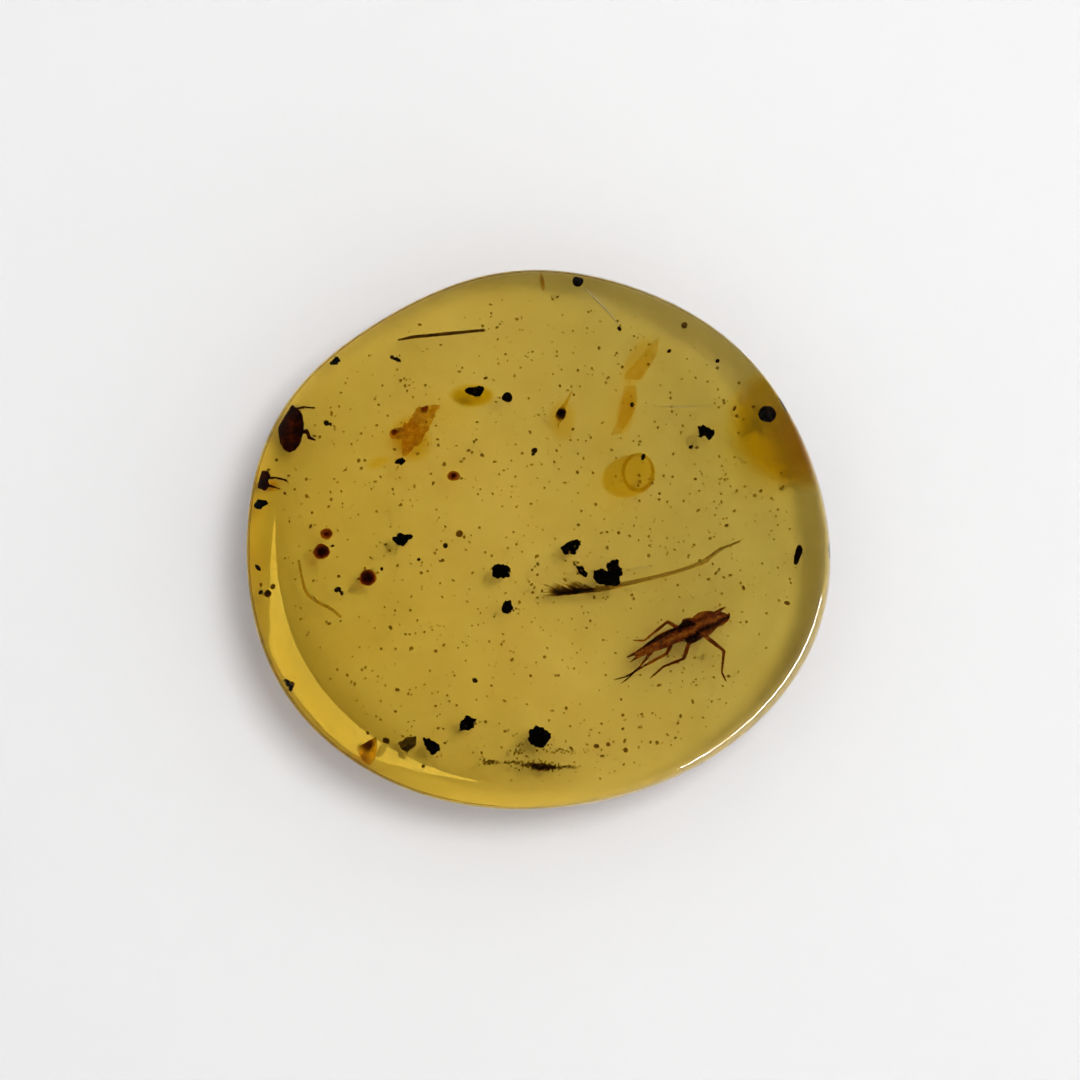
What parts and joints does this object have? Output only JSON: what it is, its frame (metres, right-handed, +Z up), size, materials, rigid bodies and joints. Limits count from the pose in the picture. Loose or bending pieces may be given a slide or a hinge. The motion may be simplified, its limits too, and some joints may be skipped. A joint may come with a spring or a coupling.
{
  "type": "insect in amber",
  "caption": "Thin polished slab of golden amber with a slender winged insect, a beetle, a plume and dark crumbs sealed inside.",
  "frame": {"origin": "centre of the flat foot, under the middle of the slab's box", "axes": "+Z up out of the foot, +X along the slab's longest side, +Y towards its narrower side"},
  "size_m": [0.03, 0.0276, 0.0056],
  "materials": {
    "amber": "polished",
    "chitin": "satin",
    "dark_chitin": "gloss",
    "charred": "matt",
    "resin": "gloss",
    "stem": "matt",
    "leaf_scrap": "matt"
  },
  "bodies": {
    "root": {"amber_upper": "amber", "amber_lower": "amber", "winged_insect": "chitin", "beetle": "dark_chitin", "torn_midge": "dark_chitin", "plant_stick": "stem", "curved_hair": "stem", "frayed_plume": "stem", "leaf_scrap": "leaf_scrap", "upper_bud_scale": "leaf_scrap", "lower_bud_scale": "leaf_scrap", "petal_scrap": "leaf_scrap", "tailed_seed": "dark_chitin", "resin_ring": "resin", "charred_crumb_1": "charred", "charred_crumb_2": "charred", "charred_crumb_3": "charred", "charred_crumb_4": "charred", "charred_crumb_5": "charred", "charred_crumb_6": "charred", "charred_crumb_7": "charred", "charred_crumb_8": "charred", "charred_crumb_9": "charred", "charred_crumb_10": "charred", "charred_crumb_11": "charred", "charred_crumb_12": "charred", "charred_crumb_13": "charred", "charred_crumb_14": "charred", "charred_crumb_15": "charred", "charred_crumb_16": "charred", "charred_crumb_17": "charred", "resin_drop_1": "resin", "resin_drop_2": "resin", "resin_drop_3": "resin", "resin_drop_4": "resin", "resin_drop_5": "resin", "resin_drop_6": "resin", "resin_drop_7": "resin", "resin_drop_8": "resin", "olive_chip": "resin"}
  },
  "joints": []
}
